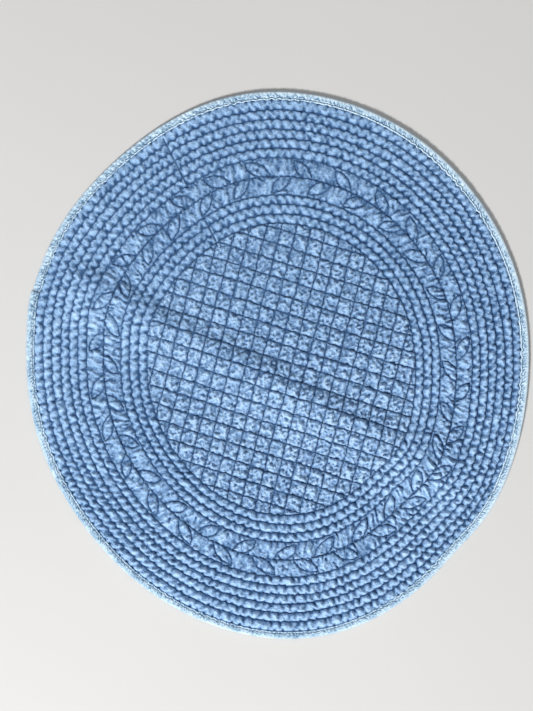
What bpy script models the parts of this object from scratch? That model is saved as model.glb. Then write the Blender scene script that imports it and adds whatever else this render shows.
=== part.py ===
# Round quilted placemat, lying flat: one quilted cloth and the narrow strip that binds its edge.
# Units are metres, +Z is up, and the origin lies on the table under the middle of the mat's box.
# Angles are in degrees, counter-clockwise from +X, seen from above.

import math
from functools import partial

import bmesh
import bpy
from mathutils import Vector
from mathutils.geometry import delaunay_2d_cdt

# --- Driving dimensions ---------------------------------------------------------------------------

MEAN_RADIUS = 0.190         # middle to the outside of the binding, averaged round the mat
CLEARANCE = 0.0003          # between the cloth and the binding that grips it
SEAM_ROOM = 0.00045         # from the binding's lip to where the cloth dips beside it

BINDING_WIDTH = 0.0061      # seen from above
BINDING_HEIGHT = 0.0038
BINDING_CLOTH = 0.0010      # each layer of the folded strip
LIP_ROUNDING = 0.0006       # of its free edge
EDGE_ROUNDING = 0.0016      # of its folded edge, across
EDGE_TURNS = (90, 45, 0, -45, -90)  # degrees: points of the half ellipse of the folded edge
LAP_ANGLE = 163.6           # where one end of the strip is laid over the other
LAP_STEP = 0.2              # degrees taken by the step itself
LAP_FADE = 9.0              # degrees over which the upper end settles back
LAP_OUT = 0.0008            # how far the upper end stands out
LAP_UP = 0.0005             # and how much thicker the strip is there

STITCH_HEIGHT = 0.0020      # top of the cloth where a stitch pulls it down
CHANNEL_CROWN = 0.0020      # rise of the puffed channels above the stitching
PILLOW_CROWN = 0.0018       # rise of each square of the middle
LEAF_CROWN = 0.0018
GROUND_CROWN = 0.0010       # rise of the cloth between the leaves
FULLNESS_SWING = 0.2        # the channels are this share higher on one side, and lower on the other
FULLEST_ANGLE = 285.0
FLATTENING = 0.0030         # width of the slope under the edge, where the cloth thins into the binding

RIM_STATIONS = 120
OUTER_GATHERS = 142         # small gathers along each of the outer channels
INNER_GATHERS = 106
GATHER_SWING = 0.18         # how far a gather pushes a channel's crest aside, as a share of its width

SQUARE_LINES = (            # the two families of lines in the squared middle
    # direction, offset of the line nearest the middle, pitch
    {"direction": -17.5, "offset": 0.0026, "pitch": 0.01137},
    {"direction": 75.5, "offset": 0.0016, "pitch": 0.01077},
)
SQUARE_NUMBERS = range(-10, 11)     # enough lines on either side to cover the middle
SMALLEST_SQUARE = 0.0018    # a cut square whose centre lies nearer its round than this stays flat
FULL_SQUARE = 0.0045        # and one further in than this has its full crown
CORNER_ROOM = 0.0011        # a crossing nearer the round than this is left out
CLOSEST_ENDS = 0.7          # degrees: line ends nearer than this share one point of the round
WIDEST_ENDS = 4.0           # and a wider gap gets a point of its own
EDGE_HALVINGS = 40          # steps that find where a line meets the round

LEAF_COUNT = 28             # in each of the two rows
LEAF_LEAD = 2.8             # degrees by which the first stalk is turned from +X
LEAF_CROWDING = (           # the stalks stand closer together in some places than in others
    {"times": 1, "swing": 1.6, "crest": 214.0},
    {"times": 2, "swing": 1.6, "crest": 58.0},
)
LEAF_SWEEP = 6.2            # degrees from a leaf's stalk to its tip
LEAF_REACH = 0.88           # how far the tip reaches across its half of the band
LEAF_HALF_WIDTH = 0.0037
LEAF_FULLNESS = 0.8         # below 1 the leaf is blunter than a plain sine bow
LEAF_FLANK = (0.2, 0.4, 0.6, 0.8)   # points of a leaf's edges and of its crest, as shares of its length
LEAF_CREST = (0.3, 0.5, 0.7)
LEAF_GROUND = (             # raised points of the cloth beside each leaf
    # degrees ahead of the stalk, share of the half band
    {"ahead": 8.6, "across": 0.32},
    {"ahead": 9.4, "across": 0.62},
    {"ahead": 6.9, "across": 0.30},
    {"ahead": -1.0, "across": 0.72},
)

# An old fold, left where the mat was folded double: a low ridge along a straight line.
FOLD_THROUGH = (-0.0016, -0.0075)   # a point of the line
FOLD_DIRECTION = -27.7
FOLD_CREST = -0.0060        # where the crest runs, measured to the left of the line
FOLD_RISE = 0.0030
FOLD_UP = 0.0400            # width of the gentle slope that rises to the crest
FOLD_DOWN = 0.0170          # and of the steeper one beyond it
FOLD_EASE = 0.0160          # by which the steeper slope widens
FOLD_EASING = (0.0600, 0.1200)      # between these two places along the line
FOLD_END = 0.93             # where the fold has died out, as a share of MEAN_RADIUS
FOLD_FADE = 0.15            # and the share over which it does so

# The outline departs from a circle by slow waves and a few local swellings, as shares of MEAN_RADIUS.
RIM_WAVES = (
    {"times": 2, "swing": 0.0400, "crest": 93.2},
    {"times": 3, "swing": 0.0090, "crest": 43.7},
    {"times": 4, "swing": 0.0074, "crest": 0.8},
    {"times": 6, "swing": 0.0033, "crest": 34.4},
    {"times": 8, "swing": 0.0020, "crest": 15.2},
)
RIM_SWELLINGS = (
    {"angle": 166.9, "rise": 0.0055, "spread": 6.0},
    {"angle": 312.7, "rise": -0.0069, "spread": 7.0},
    {"angle": 326.6, "rise": 0.0049, "spread": 8.0},
)

# The stitched rounds, as shares of the rim's radius.
OUTER_ROUNDS = (0.935, 0.901, 0.867, 0.834, 0.800, 0.766)
STEM_ROUND = 0.701
INNER_ROUNDS = (0.636, 0.602, 0.567, 0.533)
ROUNDS_DRIFT = 0.044        # the rounds drift off the middle, most of all the inner ones
ROUNDS_DRIFT_ANGLE = 302.0
ROUND_KINKS = (             # outward kinks of the rounds at both ends of the fold
    {"angle": 329.0, "rise": 0.0155, "spread": 20.0},
    {"angle": 160.0, "rise": 0.0058, "spread": 12.0},
)
KINK_FADE = 0.1             # share of the radius next to the rim over which a kink grows

MAT_COLOUR = (0.17, 0.30, 0.50, 1.0)
BINDING_COLOUR = (0.38, 0.54, 0.69, 1.0)
CLOTH_ROUGHNESS = 0.92
SHARP_ANGLE = 50.0          # degrees between faces above which an edge is shaded sharp

FACES_INSIDE = 1            # the triangulation keeps the triangles inside the outline
SAME_POINT = 1e-6           # and takes points closer than this for one


# --- Plan of the mat ------------------------------------------------------------------------------

def swelling(angle, centre, spread):
    away = (angle - centre + 180.0) % 360.0 - 180.0
    return math.exp(-(away / spread) ** 2)


def rim_radius(angle):
    share = 1.0
    for wave in RIM_WAVES:
        share += wave["swing"] * math.cos(math.radians(wave["times"] * (angle - wave["crest"])))
    for bump in RIM_SWELLINGS:
        share += bump["rise"] * swelling(angle, bump["angle"], bump["spread"])
    return MEAN_RADIUS * share


def round_radius(share, angle):
    """Radius of the stitched round that lies at this share of the rim's radius."""
    drift = ROUNDS_DRIFT * (1.0 - share) * math.cos(math.radians(angle - ROUNDS_DRIFT_ANGLE))
    kinks = sum(kink["rise"] * swelling(angle, kink["angle"], kink["spread"]) for kink in ROUND_KINKS)
    return rim_radius(angle) * (share + drift + kinks * min(1.0, (1.0 - share) / KINK_FADE))


def polar(radius, angle):
    turn = math.radians(angle)
    return Vector((radius * math.cos(turn), radius * math.sin(turn)))


def round_point(share, angle):
    return polar(round_radius(share, angle), angle)


def middle_of_outline():
    """Centre of the outline's box, which the origin lies under."""
    outline = [polar(rim_radius(step), step) for step in range(360)]
    across = [point.x for point in outline]
    along = [point.y for point in outline]
    return Vector(((min(across) + max(across)) / 2, (min(along) + max(along)) / 2))


def rim_angles():
    """Evenly spaced stations round the rim, with a close pair at the step of the lap."""
    even = [360.0 * step / RIM_STATIONS for step in range(RIM_STATIONS)]
    return sorted(even + [LAP_ANGLE, LAP_ANGLE + LAP_STEP])


def smooth_step(low, high, value):
    part = max(0.0, min(1.0, (value - low) / (high - low)))
    return part * part * (3.0 - 2.0 * part)


def fold_rise(point):
    """Height of the old fold, which dies out before the binding."""
    turn = math.radians(FOLD_DIRECTION)
    reach = point - Vector(FOLD_THROUGH)
    along = reach.x * math.cos(turn) + reach.y * math.sin(turn)
    away = reach.y * math.cos(turn) - reach.x * math.sin(turn) - FOLD_CREST
    steep = FOLD_DOWN + FOLD_EASE * smooth_step(*FOLD_EASING, along)
    ridge = smooth_step(-FOLD_UP, 0.0, away) * (1.0 - smooth_step(0.0, steep, away))
    share = point.length / MEAN_RADIUS
    fade = max(0.0, min(1.0, (FOLD_END - share) / FOLD_FADE))
    return FOLD_RISE * ridge * fade


def fullness(angle):
    """How high the puffs stand: fuller on one side of the mat than on the other."""
    return 1.0 + FULLNESS_SWING * math.cos(math.radians(angle - FULLEST_ANGLE))


# --- Plan of the quilting -------------------------------------------------------------------------

class Quilting:
    """Points with a height, and the lines of stitching and crests that join them."""

    def __init__(self):
        self.points = []
        self.heights = []
        self.lines = []

    def add(self, point, height):
        self.points.append(point)
        self.heights.append(height)
        return len(self.points) - 1

    def join(self, indices, closed=False):
        for first, second in zip(indices, indices[1:]):
            self.lines.append((first, second))
        if closed:
            self.lines.append((indices[-1], indices[0]))

    def add_line(self, points, height, closed=False):
        indices = [self.add(point, height) for point in points]
        self.join(indices, closed)
        return indices


def gather_angles(count, late):
    """Angles of evenly spaced gathers; a late set starts half a pitch further on."""
    return [360.0 * (step + (0.5 if late else 0.0)) / count for step in range(count)]


def add_round(quilting, share, count, late):
    """One stitched round, with a point at each gather."""
    stitches = [round_point(share, angle) for angle in gather_angles(count, late)]
    quilting.add_line(stitches, STITCH_HEIGHT, closed=True)


def add_channel(quilting, outer, inner, count, late):
    """The crest of one channel, pushed to and fro by the gathers of its two seams, which alternate."""
    crest = []
    for angle in sorted(gather_angles(count, False) + gather_angles(count, True)):
        height = STITCH_HEIGHT + CHANNEL_CROWN * fullness(angle)
        far = outer(angle)
        near = inner(angle)
        pushed_in = (round(2 * angle * count / 360.0) % 2 == 1) == late
        side = 0.5 - GATHER_SWING if pushed_in else 0.5 + GATHER_SWING
        crest.append(quilting.add(polar(near + side * (far - near), angle), height))
    quilting.join(crest, closed=True)


def seam_radius(angle):
    """Where the cloth dips into the binding."""
    return rim_radius(angle) - BINDING_WIDTH - SEAM_ROOM


def add_channels(quilting):
    """The outer and the inner channels; the gathers of each round lie between those of the next."""
    outer_seams = [seam_radius] + [partial(round_radius, share) for share in OUTER_ROUNDS]
    inner_seams = [partial(round_radius, share) for share in INNER_ROUNDS]
    for seams, count in ((outer_seams, OUTER_GATHERS), (inner_seams, INNER_GATHERS)):
        for number, (outer, inner) in enumerate(zip(seams, seams[1:])):
            add_channel(quilting, outer, inner, count, late=number % 2 == 1)
    for number, share in enumerate(OUTER_ROUNDS, start=1):
        add_round(quilting, share, OUTER_GATHERS, late=number % 2 == 1)
    for number, share in enumerate(INNER_ROUNDS[:-1]):
        add_round(quilting, share, INNER_GATHERS, late=number % 2 == 1)


def leaf_angle(turn):
    """Where a stalk leaves the stem, from its even place round the mat."""
    angle = turn + LEAF_LEAD
    for wave in LEAF_CROWDING:
        angle += wave["swing"] * math.cos(math.radians(wave["times"] * (turn - wave["crest"])))
    return angle


def band_point(angle, across):
    """A point of the leaf band: across is 0 on the stem, 1 at its outer round and -1 at its inner one."""
    if across > 0:
        share = STEM_ROUND + across * (OUTER_ROUNDS[-1] - STEM_ROUND)
    else:
        share = STEM_ROUND + across * (STEM_ROUND - INNER_ROUNDS[0])
    return round_point(share, angle)


def add_leaf(quilting, stalk, stalk_index, side):
    """A pointed leaf from its stalk on the stem towards the outer (side 1) or inner (side -1) round."""
    base = band_point(stalk, 0.0)
    tip = band_point(stalk + LEAF_SWEEP, LEAF_REACH * side)
    axis = tip - base
    sideways = Vector((-axis.y, axis.x)).normalized() * LEAF_HALF_WIDTH
    edges = {1: [], -1: []}
    for along in LEAF_FLANK:
        width = math.sin(math.pi * along) ** LEAF_FULLNESS
        for flank in edges:
            edge = base + axis * along + sideways * width * flank
            edges[flank].append(quilting.add(edge, STITCH_HEIGHT))
    tip_index = quilting.add(tip, STITCH_HEIGHT)
    for flank in edges.values():
        quilting.join([stalk_index] + flank + [tip_index])
    crest = [base + axis * along for along in LEAF_CREST]
    quilting.add_line(crest, STITCH_HEIGHT + LEAF_CROWN)


def add_leaf_band(quilting):
    pitch = 360.0 / LEAF_COUNT
    stem = []
    for step in range(LEAF_COUNT):
        for side, offset in ((1, 0.0), (-1, 0.5)):
            stalk = leaf_angle((step + offset) * pitch)
            following = leaf_angle((step + offset + 0.5) * pitch)
            index = quilting.add(band_point(stalk, 0.0), STITCH_HEIGHT)
            halfway = quilting.add(band_point((stalk + following) / 2, 0.0), STITCH_HEIGHT)
            stem += [index, halfway]
            add_leaf(quilting, stalk, index, side)
            for spot in LEAF_GROUND:
                ground = band_point(stalk + spot["ahead"], spot["across"] * side)
                quilting.add(ground, STITCH_HEIGHT + GROUND_CROWN)
    quilting.join(stem, closed=True)


def square_axes(family):
    """Unit vectors along a family of lines and across it."""
    turn = math.radians(family["direction"])
    along = Vector((math.cos(turn), math.sin(turn)))
    return along, Vector((-along.y, along.x))


def crossing(row, column):
    """Where a line of the first family, by number, meets one of the second."""
    first, second = SQUARE_LINES
    along_first, across_first = square_axes(first)
    _, across_second = square_axes(second)
    start = across_first * (first["offset"] + row * first["pitch"])
    reach = second["offset"] + column * second["pitch"] - start.dot(across_second)
    return start + along_first * (reach / along_first.dot(across_second))


def room_inside(point):
    """How far a point lies inside the innermost round."""
    angle = math.degrees(math.atan2(point.y, point.x))
    return round_radius(INNER_ROUNDS[-1], angle) - point.length


def point_on_disc_edge(inside, outside):
    """Where the line between the two points crosses the innermost round."""
    for _ in range(EDGE_HALVINGS):
        between = (inside + outside) / 2
        if room_inside(between) > 0:
            inside = between
        else:
            outside = between
    return inside


def add_square_lines(quilting, edge):
    """Both families of lines; a line's ends are stored in edge, by angle."""
    corners = {}
    for row in SQUARE_NUMBERS:
        for column in SQUARE_NUMBERS:
            point = crossing(row, column)
            if room_inside(point) > CORNER_ROOM:
                corners[row, column] = quilting.add(point, STITCH_HEIGHT)
    for swap in (False, True):
        for line in SQUARE_NUMBERS:
            cells = [(place, line) if swap else (line, place) for place in SQUARE_NUMBERS]
            inside = [cell for cell in cells if cell in corners]
            if not inside:
                continue
            quilting.join([corners[cell] for cell in inside])
            for cell, step in ((inside[0], -1), (inside[-1], 1)):
                beyond = (cell[0] + step, cell[1]) if swap else (cell[0], cell[1] + step)
                end = point_on_disc_edge(crossing(*cell), crossing(*beyond))
                angle = math.degrees(math.atan2(end.y, end.x)) % 360.0
                edge.append((angle, end, corners[cell]))


def add_pillows(quilting):
    """The crown of each square, lower where the innermost round cuts it short."""
    for row in SQUARE_NUMBERS:
        for column in SQUARE_NUMBERS:
            centre = crossing(row + 0.5, column + 0.5)
            room = room_inside(centre)
            if room > SMALLEST_SQUARE:
                crown = PILLOW_CROWN * min(1.0, room / FULL_SQUARE)
                quilting.add(centre, STITCH_HEIGHT + crown)


def add_squared_middle(quilting):
    edge = []
    add_square_lines(quilting, edge)
    add_pillows(quilting)
    edge.sort(key=lambda entry: entry[0])
    ring = []
    last_angle = edge[-1][0] - 360.0
    for angle, end, corner in edge:
        gap = angle - last_angle
        if gap < CLOSEST_ENDS and ring:
            quilting.join([ring[-1], corner])
            continue
        if gap > WIDEST_ENDS:
            ring.append(quilting.add(round_point(INNER_ROUNDS[-1], angle - gap / 2), STITCH_HEIGHT))
        index = quilting.add(end, STITCH_HEIGHT)
        quilting.join([index, corner])
        ring.append(index)
        last_angle = angle
    quilting.join(ring, closed=True)


# --- The two solids -------------------------------------------------------------------------------

def cloth_material(name, colour):
    material = bpy.data.materials.new(name)
    material.use_nodes = True
    shader = material.node_tree.nodes["Principled BSDF"]
    shader.inputs["Base Color"].default_value = colour
    shader.inputs["Roughness"].default_value = CLOTH_ROUGHNESS
    shader.inputs["Metallic"].default_value = 0.0
    return material


def finish_object(name, mesh_data, material, parent):
    bmesh.ops.triangulate(mesh_data, faces=mesh_data.faces)
    bmesh.ops.recalc_face_normals(mesh_data, faces=mesh_data.faces)
    mesh = bpy.data.meshes.new(name)
    mesh_data.to_mesh(mesh)
    mesh_data.free()
    mesh.shade_smooth()
    mesh.set_sharp_from_angle(angle=math.radians(SHARP_ANGLE))
    mesh.materials.append(material)
    piece = bpy.data.objects.new(name, mesh)
    piece.parent = parent
    bpy.context.scene.collection.objects.link(piece)
    return piece


def quilted_mat(parent, shift):
    """The quilted cloth: puffed on top, flat underneath, thinned at its edge where the binding grips it."""
    quilting = Quilting()
    angles = rim_angles()
    tongue_low = BINDING_CLOTH + CLEARANCE
    tongue_top = BINDING_HEIGHT - BINDING_CLOTH - CLEARANCE
    edge = [polar(rim_radius(angle) - BINDING_CLOTH - CLEARANCE, angle) for angle in angles]
    seam = [polar(seam_radius(angle), angle) for angle in angles]
    foot = [polar(seam_radius(angle) - FLATTENING, angle) for angle in angles]
    rim = quilting.add_line(edge, tongue_top, closed=True)
    quilting.add_line(seam, tongue_top, closed=True)
    add_channels(quilting)
    add_leaf_band(quilting)
    add_squared_middle(quilting)

    points, _, faces, sources, _, _ = delaunay_2d_cdt(
        quilting.points, quilting.lines, [], FACES_INSIDE, SAME_POINT
    )
    mesh_data = bmesh.new()
    vertices = []
    for point, origins in zip(points, sources):
        height = max((quilting.heights[source] for source in origins), default=STITCH_HEIGHT)
        place = (point.x - shift.x, point.y - shift.y, height + fold_rise(point))
        vertices.append(mesh_data.verts.new(place))
    for face in faces:
        mesh_data.faces.new([vertices[index] for index in face])

    placed = {source: vertices[index] for index, origins in enumerate(sources) for source in origins}
    layers = [[placed[index] for index in rim]]
    for ring, height in ((edge, tongue_low), (seam, tongue_low), (foot, 0.0)):
        places = [(point.x - shift.x, point.y - shift.y, height) for point in ring]
        layers.append([mesh_data.verts.new(place) for place in places])
    for upper, lower in zip(layers, layers[1:]):
        for step in range(len(angles)):
            following = (step + 1) % len(angles)
            mesh_data.faces.new((upper[step], lower[step], lower[following], upper[following]))
    mesh_data.faces.new(layers[-1])
    return finish_object("quilted_mat", mesh_data, cloth_material("washed_blue", MAT_COLOUR), parent)


def lap_share(angle):
    """1 at the edge of the upper end of the strip, falling to 0 as it settles, and 0 before the lap."""
    past = angle - LAP_ANGLE
    if past <= 0.0 or past > LAP_FADE:
        return 0.0
    return 0.5 + 0.5 * math.cos(math.pi * past / LAP_FADE)


def binding_section(angle):
    """The folded strip's C-shaped section, as pairs of distance in from the rim and height."""
    lap = lap_share(angle)
    out = LAP_OUT * lap
    top = BINDING_HEIGHT + LAP_UP * lap
    upper_layer = BINDING_HEIGHT - BINDING_CLOTH
    inside = [
        (BINDING_WIDTH, 0.0),
        (BINDING_WIDTH, BINDING_CLOTH),
        (BINDING_CLOTH, BINDING_CLOTH),
        (BINDING_CLOTH, upper_layer),
        (BINDING_WIDTH, upper_layer),
        (BINDING_WIDTH, top - LIP_ROUNDING),
        (BINDING_WIDTH - LIP_ROUNDING, top),
    ]
    outside = []
    for edge_turn in EDGE_TURNS:
        turn = math.radians(edge_turn)
        inset = EDGE_ROUNDING * (1 - math.cos(turn)) - out
        outside.append((inset, top / 2 * (1 + math.sin(turn))))
    return inside + outside


def edge_binding(parent, shift):
    """The strip that is folded round the mat's edge, as one closed ring with a C-shaped section."""
    mesh_data = bmesh.new()
    rings = []
    for angle in rim_angles():
        section = []
        for inset, height in binding_section(angle):
            point = polar(rim_radius(angle) - inset, angle) - shift
            section.append(mesh_data.verts.new((point.x, point.y, height)))
        rings.append(section)
    for ring, following in zip(rings, rings[1:] + rings[:1]):
        for step in range(len(ring)):
            after = (step + 1) % len(ring)
            mesh_data.faces.new((ring[step], ring[after], following[after], following[step]))
    return finish_object("edge_binding", mesh_data, cloth_material("pale_binding", BINDING_COLOUR), parent)


def build_placemat():
    for stale in list(bpy.data.objects):
        bpy.data.objects.remove(stale, do_unlink=True)
    placemat = bpy.data.objects.new("placemat", None)
    bpy.context.scene.collection.objects.link(placemat)
    shift = middle_of_outline()
    quilted_mat(placemat, shift)
    edge_binding(placemat, shift)


build_placemat()
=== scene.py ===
# Round quilted placemat in washed blue cotton: puckered cloth, backing, pale bound edge and sewing thread.
# Angles are in degrees, counter-clockwise from +X; radii are measured from the middle of the rounds.
import math
from functools import partial

import bpy
import numpy as np
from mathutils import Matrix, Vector, kdtree
from mathutils.geometry import delaunay_2d_cdt


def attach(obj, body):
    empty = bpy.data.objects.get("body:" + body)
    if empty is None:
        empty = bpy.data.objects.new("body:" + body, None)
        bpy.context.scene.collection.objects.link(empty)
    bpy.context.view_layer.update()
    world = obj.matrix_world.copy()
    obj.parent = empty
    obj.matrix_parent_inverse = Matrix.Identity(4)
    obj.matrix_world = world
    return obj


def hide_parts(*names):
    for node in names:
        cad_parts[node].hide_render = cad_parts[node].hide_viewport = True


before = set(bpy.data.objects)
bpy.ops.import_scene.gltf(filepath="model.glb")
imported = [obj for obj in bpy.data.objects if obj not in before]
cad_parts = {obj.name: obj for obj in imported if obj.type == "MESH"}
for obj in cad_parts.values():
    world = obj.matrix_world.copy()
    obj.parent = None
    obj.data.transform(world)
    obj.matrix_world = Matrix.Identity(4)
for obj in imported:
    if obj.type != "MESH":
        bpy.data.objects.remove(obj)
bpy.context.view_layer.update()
mm = 0.001
print("stage: frame loaded")

plan = {
    "meanRadius": 190 * mm,
    # slow waves of the outline: times round, swing as a share of the mean radius, crest
    "waves": ((2, 0.0400, 93.2), (3, 0.0090, 43.7), (4, 0.0074, 0.8), (6, 0.0033, 34.4), (8, 0.0020, 15.2)),
    "swellings": ((166.9, 0.0055, 6.0), (312.7, -0.0069, 7.0), (326.6, 0.0049, 8.0)),  # angle, rise, spread
    "outerRounds": (0.935, 0.901, 0.867, 0.834, 0.800, 0.766),  # shares of the outline's radius
    "stemRound": 0.701,
    "innerRounds": (0.636, 0.602, 0.567, 0.533),
    "drift": 0.044, "driftAngle": 302.0,        # the inner rounds sit a little off the middle
    "kinks": ((329.0, 0.0155, 20.0), (160.0, 0.0058, 12.0)),  # angle, rise, spread
    "kinkFade": 0.1,
    "seamInset": 5.5 * mm,                      # the outermost seam is hidden under the binding's lip
    # an old fold: the cloth rises gently to its crest and drops beyond it, more slowly towards one end
    "foldThrough": (-1.6 * mm, -7.5 * mm), "foldDirection": -27.7,
    "foldRise": 3.0 * mm, "foldCrest": -6 * mm, "foldUp": 40 * mm, "foldDown": 17 * mm,
    "foldEase": 16 * mm, "foldEasing": (60 * mm, 120 * mm),
    "foldEnd": 0.93, "foldFade": 0.15,
}


def cosine(angle):
    return np.cos(np.radians(angle))


def swelling(angle, centre, spread):
    away = (angle - centre + 180) % 360 - 180
    return np.exp(-(away / spread) ** 2)


def rimRadius(angle):
    share = 1 + sum(swing * cosine(times * (angle - crest)) for times, swing, crest in plan["waves"])
    share = share + sum(rise * swelling(angle, centre, spread) for centre, rise, spread in plan["swellings"])
    return plan["meanRadius"] * share


def roundRadius(share, angle):
    drift = plan["drift"] * (1 - share) * cosine(angle - plan["driftAngle"])
    kinks = sum(rise * swelling(angle, centre, spread) for centre, rise, spread in plan["kinks"])
    return rimRadius(angle) * (share + drift + kinks * np.minimum(1, (1 - share) / plan["kinkFade"]))


def seamRadius(angle):
    return rimRadius(angle) - plan["seamInset"]


def stemRadius(angle):
    return roundRadius(plan["stemRound"], angle)


def bandOuter(angle):
    return roundRadius(plan["outerRounds"][-1], angle)


def bandInner(angle):
    return roundRadius(plan["innerRounds"][0], angle)


def middleEdge(angle):
    return roundRadius(plan["innerRounds"][-1], angle)


def polar(radius, angle):
    turn = np.radians(angle)
    return np.stack((radius * np.cos(turn), radius * np.sin(turn)), -1)


def angleOf(points):
    return np.degrees(np.arctan2(points[:, 1], points[:, 0])) % 360


def radiusOf(points):
    return np.hypot(points[:, 0], points[:, 1])


def smoothStep(low, high, value):
    t = np.clip((value - low) / (high - low), 0, 1)
    return t * t * (3 - 2 * t)


def foldRise(points):
    turn = math.radians(plan["foldDirection"])
    x, y = (points - np.array(plan["foldThrough"])).T
    along = x * math.cos(turn) + y * math.sin(turn)
    away = y * math.cos(turn) - x * math.sin(turn) - plan["foldCrest"]
    down = plan["foldDown"] + plan["foldEase"] * smoothStep(*plan["foldEasing"], along)
    rise, drop = smoothStep(-plan["foldUp"], 0, away), smoothStep(0, down, away)
    fade = np.clip((plan["foldEnd"] - radiusOf(points) / plan["meanRadius"]) / plan["foldFade"], 0, 1)
    return plan["foldRise"] * rise * (1 - drop) * fade


everyAngle = np.arange(0, 360, 0.25)
outlinePoints = polar(rimRadius(everyAngle), everyAngle)
boxMiddle = (outlinePoints.min(0) + outlinePoints.max(0)) / 2      # the part's origin lies under it


# Smooth noise for what is worked out point by point.

def loopNoise(count, knots, seed):
    values = np.random.default_rng(seed).uniform(-1, 1, knots)
    at = np.arange(count) * knots / count
    cell = at.astype(int)
    t = smoothStep(0, 1, at - cell)
    return values[cell % knots] * (1 - t) + values[(cell + 1) % knots] * t


def clothNoise(x, y, seed):
    values = np.random.default_rng(seed).uniform(-1, 1, (256, 256))
    i, j = np.floor(x).astype(int), np.floor(y).astype(int)
    s, t = smoothStep(0, 1, x - i), smoothStep(0, 1, y - j)
    i, j, k, m = i & 255, j & 255, (i + 1) & 255, (j + 1) & 255
    near = values[i, j] * (1 - s) + values[k, j] * s
    far = values[i, m] * (1 - s) + values[k, m] * s
    return near * (1 - t) + far * t


# The lines of machine stitching, as flat polylines.
sewing = {
    "roundWobble": 0.25 * mm, "quickKnots": 200, "slowKnots": 40,
    "leafCount": 28, "leafLead": 2.8,
    "leafCrowding": ((1, 1.6, 214.0), (2, 1.6, 58.0)),          # times round, swing, crest
    "leafSweep": 6.6,                                           # degrees from stalk to tip
    "leafShift": 0.4, "leafSweeps": (0.9, 1.12), "leafReaches": (0.95, 1.04),  # how much the leaves vary
    # share of the sweep, share across the half band: the leaf's outer and stem-side edges
    "leafFarEdge": ((0, 0), (0.12, 0.30), (0.28, 0.56), (0.5, 0.74), (0.75, 0.85), (1, 0.87)),
    "leafNearEdge": ((0.48, 0), (0.68, 0.15), (0.84, 0.33), (0.95, 0.56), (1, 0.87)),
    "squareFamilies": ((-17.5, 2.6 * mm, 11.37 * mm), (75.5, 1.6 * mm, 10.77 * mm)),  # direction, offset, pitch
    "squareReach": 130 * mm, "squareStep": 0.5 * mm, "squareRows": 10, "fewestPoints": 8,
    "squareWobble": 0.4 * mm,
    "squareWaves": ((0.6, 8 * mm, 40, 17.5), (0.8, 30 * mm, 12, 4.7)),  # swing, length, knots, shift
    "joinRowAngle": 117.3,                      # short row across the rounds where the sewing starts and ends
    "joinRowSpans": ((0.766, 0.955), (0.533, 0.622)),
}


def evenly(points, spacing, closed=False):
    if closed:
        points = np.vstack((points, points[:1]))
    run = np.concatenate(([0], np.cumsum(np.hypot(*np.diff(points, axis=0).T))))
    at = np.linspace(0, run[-1], max(2, round(run[-1] / spacing)) + 1)
    even = np.stack((np.interp(at, run, points[:, 0]), np.interp(at, run, points[:, 1])), -1)
    return even[:-1] if closed else even


def curveThrough(table, steps=20):
    p = np.array(table, float)
    p = np.vstack((2 * p[0] - p[1], p, 2 * p[-1] - p[-2]))
    t = np.linspace(0, 1, steps, endpoint=False)[:, None]
    pieces = []
    for a, b, c, d in zip(p, p[1:], p[2:], p[3:]):
        bend, twist = (2 * a - 5 * b + 4 * c - d) * t**2, (3 * b - a - 3 * c + d) * t**3
        pieces.append(0.5 * (2 * b + (c - a) * t + bend + twist))
    return np.vstack(pieces + [p[-2:-1]])


def bandPoint(angle, across):
    # across is 0 on the stem, 1 at the band's outer round and -1 at its inner one
    outward, inward = plan["outerRounds"][-1] - plan["stemRound"], plan["stemRound"] - plan["innerRounds"][0]
    share = plan["stemRound"] + across * np.where(across > 0, outward, inward)
    return polar(roundRadius(share, angle), angle)


def leafAngle(turn):
    crowding = 0
    for times, swing, crest in sewing["leafCrowding"]:
        crowding += swing * math.cos(math.radians(times * (turn - crest)))
    return turn + sewing["leafLead"] + crowding


def roundLines():
    # six outer rounds, the stem and four inner rounds
    lines, count = [], len(everyAngle)
    for number, share in enumerate(plan["outerRounds"] + (plan["stemRound"],) + plan["innerRounds"]):
        quick = loopNoise(count, sewing["quickKnots"], number)
        wobble = sewing["roundWobble"] * (quick + loopNoise(count, sewing["slowKnots"], 50 + number))
        lines.append((polar(roundRadius(share, everyAngle) + wobble, everyAngle), True))
    return lines


def leafLines():
    lines, chance = [], np.random.default_rng(7)
    pitch = 360 / sewing["leafCount"]
    for step in range(sewing["leafCount"]):
        for side, offset in ((1, 0), (-1, 0.5)):
            stalk = leafAngle((step + offset) * pitch) + chance.uniform(-sewing["leafShift"], sewing["leafShift"])
            sweep = sewing["leafSweep"] * chance.uniform(*sewing["leafSweeps"])
            reach = side * chance.uniform(*sewing["leafReaches"])
            for edge in ("leafFarEdge", "leafNearEdge"):
                table = curveThrough(sewing[edge])
                lines.append((bandPoint(stalk + table[:, 0] * sweep, table[:, 1] * reach), False))
    return lines


def squareLines():
    lines, rows = [], sewing["squareRows"]
    run = np.arange(-sewing["squareReach"], sewing["squareReach"], sewing["squareStep"])
    for family, (direction, offset, pitch) in enumerate(sewing["squareFamilies"]):
        turn = math.radians(direction)
        along = np.array((math.cos(turn), math.sin(turn)))
        across = np.array((-along[1], along[0]))
        for number in range(-rows, rows + 1):
            chance = np.random.default_rng(1000 + 40 * family + number)
            wobble = sum(np.interp(run / length + shift, np.arange(knots), chance.normal(0, swing, knots))
                         for swing, length, knots, shift in sewing["squareWaves"])
            aside = offset + number * pitch + sewing["squareWobble"] * wobble
            line = along * run[:, None] + across * aside[:, None]
            inside = radiusOf(line) < middleEdge(angleOf(line))
            if inside.sum() > sewing["fewestPoints"]:
                lines.append((line[inside], False))
    return lines


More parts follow.
